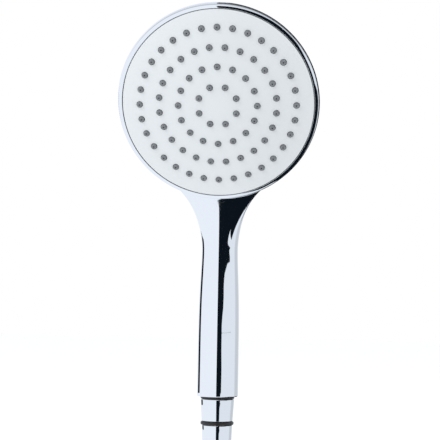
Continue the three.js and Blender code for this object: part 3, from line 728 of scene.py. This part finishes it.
def makeBezel():
    inner, outer, lipInner = face["plateRadius"] + bezel["gap"], bezel["outer"], bezel["lipInner"]
    fall = -sag(face["plateRadius"] * mm) / mm
    crest, crown = fall - bezel["sunk"], bezel["crown"]
    back = -head["rimDepth"] / mm + face["clearance"]
    lip = fall - face["plateThickness"] - face["clearance"]
    corners = [
        (lipInner, back, fillet["light"]),
        (outer, back, fillet["fine"]),
        (outer, crest - crown, bezel["shoulder"]),
        ((inner + outer) / 2, crest - 0.35 * crown, 0.6),
        (inner, crest, fillet["fine"]),
        (inner, lip, fillet["light"]),
        (lipInner, lip, fillet["light"]),
    ]
    return turned("faceBezel", corners, finishes["platedCasing"], bezel["around"], headPlace)


standIn(makeFacePlate(), "handset", "face_white", "face_plate")
print("face plate done")
standIn(makeNozzleMat(), "handset", "nozzle_silicone", "nozzle_mat")
print("nozzles:", sum(nozzles["counts"]))
standIn(makeBezel(), "handset", "body_chrome", "face_bezel")


# the pipe thread on the nipple, in the nut and on the stem, in millimetres
thread = {
    "pitch": 1.8143,
    "rootShare": 0.75,
    "crestShare": 0.25,
    "stepsPerTurn": 60,
    "maleRoot": 9.2,
    "maleCrest": 10.42,
    "femaleRoot": 10.72,
    "femaleCrest": 9.76,
    "femaleBore": 10.6,
    "fade": 0.4,  # of a turn, at each end
}
nut = {
    "bore": 7.1,
    "endRadius": 11.05,
    "topRadius": 12.0,
    "mouthRadius": 11.0,
    "mouthDepth": 0.7,
    "threadDepth": 9.3,
    "cavity": 9.4,
    "floor": 2.3,
}
bearing = {"bore": 7.1, "radius": 11.75}
stem = {
    "hoseBore": 8.2,
    "threadCore": 9.3,
    "bodyLength": 13,
    "endRadius": 10.35,
    "topRadius": 10.85,
    "topBore": 7.1,
    "topDepth": 9.8,
}
nipple = {
    "mouth": 8.0,
    "threadCore": 9.3,
    "flangeRadius": 12.0,
    "flangeLow": -1.5,
    "flangeHigh": -0.3,
    "plugRadius": 10.6,
    "plugTop": 17.7,
    "spoutRadius": 8.3,
    "spoutBore": 5.9,
    "throat": 4.2,
    "throatLow": 11.3,
    "valveBore": 7.5,
    "valveLow": -4.6,
}


# a right-handed ridge wound round the piece, fading out at both ends
def addThread(piece, root, crest, low, high, offset=0.0):
    pitch = thread["pitch"]
    count = round((high - low) / pitch * thread["stepsPerTurn"])
    rootHalf = thread["rootShare"] * pitch / 2
    crestHalf = thread["crestShare"] * pitch / 2
    fade = pitch * thread["fade"]
    least = 0.02  # keeps the ends of the ridge from closing to nothing
    verts = []
    for z in steps(low + rootHalf, high - rootHalf, count):
        grow = min(1, (z - low - rootHalf) / fade + least, (high - rootHalf - z) / fade + least)
        tip = root + (crest - root) * grow
        a = turn * (z - offset) / pitch
        for r, rise in ((root, -rootHalf), (tip, -crestHalf), (tip, crestHalf), (root, rootHalf)):
            verts.append((r * math.sin(a) * mm, -r * math.cos(a) * mm, (z + rise) * mm))
    loops = len(verts) // 4
    faces = [(0, 1, 2, 3), tuple(4 * (loops - 1) + i for i in (3, 2, 1, 0))]
    for k in range(loops - 1):
        for i in range(4):
            j = (i + 1) % 4
            faces.append((4 * k + i, 4 * k + j, 4 * k + 4 + j, 4 * k + 4 + i))
    ridge = bmesh.new()
    ridge.from_mesh(piece.data)
    points = [ridge.verts.new(v) for v in verts]
    added = [ridge.faces.new([points[i] for i in face]) for face in faces]
    bmesh.ops.recalc_face_normals(ridge, faces=added)
    ridge.to_mesh(piece.data)
    ridge.free()
    return piece


# lowest and highest z of a CAD node, in millimetres
def spanOf(node):
    low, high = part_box(node)
    return low[2] / mm, high[2] / mm


def makeNut():
    low, high = spanOf("swivel_nut")
    bore, cavity, threadBore = nut["bore"], nut["cavity"], thread["femaleBore"]
    mouth, threadEnd, floorTop = high - nut["mouthDepth"], high - nut["threadDepth"], low + nut["floor"]
    corners = [
        (bore, low, fillet["light"]),
        (nut["endRadius"], low, fillet["outside"]),
        (nut["topRadius"], high, fillet["proud"]),
        (nut["mouthRadius"], high, fillet["soft"]),
        (threadBore, mouth, 0),
        (threadBore, threadEnd, 0),
        (cavity, threadEnd, 0),
        (cavity, floorTop, fillet["light"]),
        (bore, floorTop, fillet["light"]),
    ]
    piece = turned("swivelNut", corners, finishes["platedBrass"], 160)
    inset = 0.1
    return addThread(piece, thread["femaleRoot"], thread["femaleCrest"], threadEnd + inset, mouth - inset,
                     thread["pitch"] / 2)


def makeBearing():
    low, high = spanOf("bearing_ring")
    bore, radius = bearing["bore"], bearing["radius"]
    corners = [
        (bore, low, fillet["light"]),
        (radius, low, fillet["proud"]),
        (radius, high, fillet["proud"]),
        (bore, high, fillet["light"]),
    ]
    return turned("bearingRing", corners, finishes["blackNylon"], 160)


def makeStem():
    low, high = spanOf("swivel_stem")
    body, topEnd = high - stem["bodyLength"], high - stem["topDepth"]
    hoseBore, core, topBore = stem["hoseBore"], stem["threadCore"], stem["topBore"]
    corners = [
        (hoseBore, low, fillet["fine"]),
        (core, low, fillet["soft"]),
        (core, body, fillet["light"]),
        (stem["endRadius"], body, fillet["soft"]),
        (stem["topRadius"], high, fillet["outside"]),
        (topBore, high, fillet["light"]),
        (topBore, topEnd, fillet["light"]),
        (hoseBore, topEnd, fillet["light"]),
    ]
    piece = turned("swivelStem", corners, finishes["platedBrass"], 160)
    return addThread(piece, thread["maleRoot"], thread["maleCrest"], low + 0.4, body - 1)


# the nipple is black nylon, and its black flange is partly painted shade: it darkens the thin gap between the
# handle's end and the nut, which is really in shadow
def makeNipple():
    low, high = spanOf("inlet_nipple")
    mouth, core = nipple["mouth"], nipple["threadCore"]
    valveBore, valveLow = nipple["valveBore"], nipple["valveLow"]
    flange, flangeLow, flangeHigh = nipple["flangeRadius"], nipple["flangeLow"], nipple["flangeHigh"]
    plug, plugTop = nipple["plugRadius"], nipple["plugTop"]
    spout, spoutBore = nipple["spoutRadius"], nipple["spoutBore"]
    throat, throatLow = nipple["throat"], nipple["throatLow"]
    corners = [
        (mouth, low, fillet["fine"]),
        (core, low, fillet["soft"]),
        (core, flangeLow, fillet["light"]),
        (flange, flangeLow, fillet["flange"]),
        (flange, flangeHigh, fillet["flange"]),
        (plug, flangeHigh, fillet["crisp"]),
        (plug, plugTop, fillet["soft"]),
        (spout, plugTop, fillet["light"]),
        (spout, high, fillet["soft"]),
        (spoutBore, high, fillet["soft"]),
        (spoutBore, plugTop, fillet["crisp"]),
        (throat, plugTop, fillet["crisp"]),
        (throat, throatLow, fillet["crisp"]),
        (valveBore, throatLow, fillet["crisp"]),
        (valveBore, valveLow, fillet["crisp"]),
        (mouth, valveLow, fillet["crisp"]),
    ]
    piece = turned("inletNipple", corners, finishes["blackNylon"], 144)
    return addThread(piece, thread["maleRoot"], thread["maleCrest"], low + 0.4, -2)


standIn(makeNut(), "nut", "connector_chrome", "swivel_nut")
standIn(makeBearing(), "connector_core", "black_plastic", "bearing_ring")
standIn(makeStem(), "stem", "connector_chrome", "swivel_stem")
standIn(makeNipple(), "handset", "black_plastic", "inlet_nipple")
print("connector done")


studio = {
    "floorDrop": 12 * mm,
    "floorSize": 12.0,
    "floorGlow": 0.16,
    "plain": (0.86, 0.875, 0.895),
    "middle": Vector((0, 0, 0.1)),
    "left": (0.90, 0.95, 1.02),
    "right": (0.80, 0.86, 0.92),
    "behindRight": (0.62, 0.65, 0.69),
    "above": (0.52, 0.54, 0.57),
    "dark": (0.004, 0.007, 0.011),
    "softbox": {"place": (-0.7, -0.9, 0.9), "aim": (0, 0, 0.12), "size": 0.9, "power": 6},
    "cardDistance": 6.0,
}
# dark cards far off: (azimuth, elevation) corners in degrees; azimuth 0 is the camera's side
farCards = {
    "strip": [
        (-4, -45), (19, -45), (19, -8), (24, -3.1), (21.5, -1.8), (21.5, 0.3), (24, 1.3), (28.5, 2.4),
        (30, 3.8), (30, 5.4), (33, 6.5), (44, 7.2), (44, 9), (-4, 9),
    ],
    "rearLeft": [(-143, -5), (-117, -5), (-117, 8), (-143, 8)],
    "rearLow": [(80, -75), (130, -75), (130, -32), (80, -32)],
    "rearLowBack": [(130, -75), (180, -75), (180, -14), (130, -14)],
}
# dark cards close by: (azimuth in degrees, distance, height) corners, in metres
nearCards = {
    "headSide": [
        (12, 0.28, 0.05), (20, 0.28, 0.05), (30, 0.28, 0.09), (30, 0.28, 0.13), (40, 0.28, 0.15),
        (40, 0.28, 0.26), (12, 0.28, 0.27),
    ],
    "neckShelf": [(10, 0.09, 0.0454), (73, 0.09, 0.0454), (73, 0.55, 0.0454), (12, 0.55, 0.0454)],
    "neckSide": [
        (15, 0.12, 0.1), (34, 0.12, 0.1), (50, 0.12, 0.106), (68, 0.12, 0.1065), (68, 0.12, 0.1085),
        (58, 0.12, 0.111), (24, 0.12, 0.125), (15, 0.12, 0.125),
    ],
}


def flatMaterial(name, color):
    material = bpy.data.materials.new(name)
    material.use_nodes = True
    tree = material.node_tree
    tree.nodes.remove(tree.nodes["Principled BSDF"])
    glow = add(tree, "ShaderNodeEmission", {"Color": (*color, 1), "Strength": 1.0})
    tree.links.new(glow.outputs[0], tree.nodes["Material Output"].inputs["Surface"])
    return material


# a flat card that only reflections see
def makeCard(name, corners):
    piece = meshPiece(name, corners, [range(len(corners))], flatMaterial(name, studio["dark"]))
    piece.visible_camera = False
    piece.visible_diffuse = False
    piece.visible_shadow = False


# a unit step on the level towards an azimuth in degrees
def towards(azimuth):
    a = math.radians(azimuth)
    return Vector((math.sin(a), -math.cos(a), 0))


def makeCards():
    for name, outline in farCards.items():
        makeCard(name, [
            studio["middle"] + (towards(azimuth) + Vector((0, 0, math.tan(math.radians(elevation)))))
            * studio["cardDistance"]
            for azimuth, elevation in outline
        ])
    for name, outline in nearCards.items():
        makeCard(name, [
            towards(azimuth) * distance + Vector((0, 0, height)) for azimuth, distance, height in outline
        ])


def makeFloor():
    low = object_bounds()[0][2] - studio["floorDrop"]
    h = studio["floorSize"] / 2
    verts = [(-h, -h, low), (h, -h, low), (h, h, low), (-h, h, low)]
    material, tree, shader = newMaterial("paleFloor", {
        "Roughness": 0.9,
        "Specular IOR Level": 0.1,
        "Emission Color": (1, 1, 1, 1),
        "Emission Strength": studio["floorGlow"],
    })
    drift = useGroup(tree, driftGroup, {
        "Light": (0.985, 0.985, 0.985, 1), "Dark": (0.97, 0.97, 0.97, 1), "Scale": 2.0,
    })
    tree.links.new(drift.outputs["Color"], shader.inputs["Base Color"])
    floor = meshPiece("floor", verts, [(0, 1, 2, 3)], material)
    floor.visible_glossy = False


# white to the camera, plain for soft light, and in chrome a ring of tones that dims overhead
def makeWorld():
    world = bpy.data.worlds.new("studio")
    scene.world = world
    world.use_nodes = True
    tree = world.node_tree
    back = tree.nodes["Background"]
    coords = add(tree, "ShaderNodeTexCoord")
    parts = add(tree, "ShaderNodeSeparateXYZ", {"Vector": coords.outputs["Generated"]})
    toCamera = add(tree, "ShaderNodeMath", {0: parts.outputs["Y"], 1: -1.0}, operation="MULTIPLY")
    azimuth = add(tree, "ShaderNodeMath", {0: parts.outputs["X"], 1: toCamera.outputs[0]}, operation="ARCTAN2")
    share = add(tree, "ShaderNodeMapRange", {
        "Value": azimuth.outputs[0], "From Min": -math.pi, "From Max": math.pi,
    })
    ring = add(tree, "ShaderNodeValToRGB", {"Fac": share.outputs["Result"]})
    ramp = ring.color_ramp
    left, right, behindRight = studio["left"], studio["right"], studio["behindRight"]
    stops = [  # azimuth in degrees, tone
        (-180, right), (-150, left), (-4, left), (20, right),
        (108, right), (118, behindRight), (150, behindRight), (165, right),
    ]
    while len(ramp.elements) < len(stops):
        ramp.elements.new(0.5)
    for element, (angle, color) in zip(ramp.elements, stops):
        element.position = (angle + 180) / 360
        element.color = (*color, 1)
    above = add(tree, "ShaderNodeMapRange", {
        "Value": parts.outputs["Z"], "From Min": 0.25, "From Max": 0.55, "To Max": 0.85,
    })
    sky = add(tree, "ShaderNodeMix", {"Factor": above.outputs["Result"]}, data_type="RGBA")
    tree.links.new(ring.outputs["Color"], sky.inputs["A"])
    sky.inputs["B"].default_value = (*studio["above"], 1)
    path = add(tree, "ShaderNodeLightPath")
    lit = add(tree, "ShaderNodeMix", {"Factor": path.outputs["Is Glossy Ray"]}, data_type="RGBA")
    lit.inputs["A"].default_value = (*studio["plain"], 1)
    tree.links.new(sky.outputs["Result"], lit.inputs["B"])
    seen = add(tree, "ShaderNodeMix", {"Factor": path.outputs["Is Camera Ray"]}, data_type="RGBA")
    tree.links.new(lit.outputs["Result"], seen.inputs["A"])
    seen.inputs["B"].default_value = (1, 1, 1, 1)
    tree.links.new(seen.outputs["Result"], back.inputs["Color"])
    scene.view_settings.view_transform = "Standard"


def makeSoftbox():
    box = studio["softbox"]
    data = bpy.data.lights.new("softbox", "AREA")
    data.size = box["size"]
    data.energy = box["power"]
    lamp = bpy.data.objects.new("softbox", data)
    lamp.location = box["place"]
    lamp.rotation_euler = (Vector(box["aim"]) - Vector(box["place"])).to_track_quat("-Z", "Y").to_euler()
    lamp.visible_glossy = False
    scene.collection.objects.link(lamp)


makeFloor()
makeWorld()
makeSoftbox()
makeCards()
print("studio done")
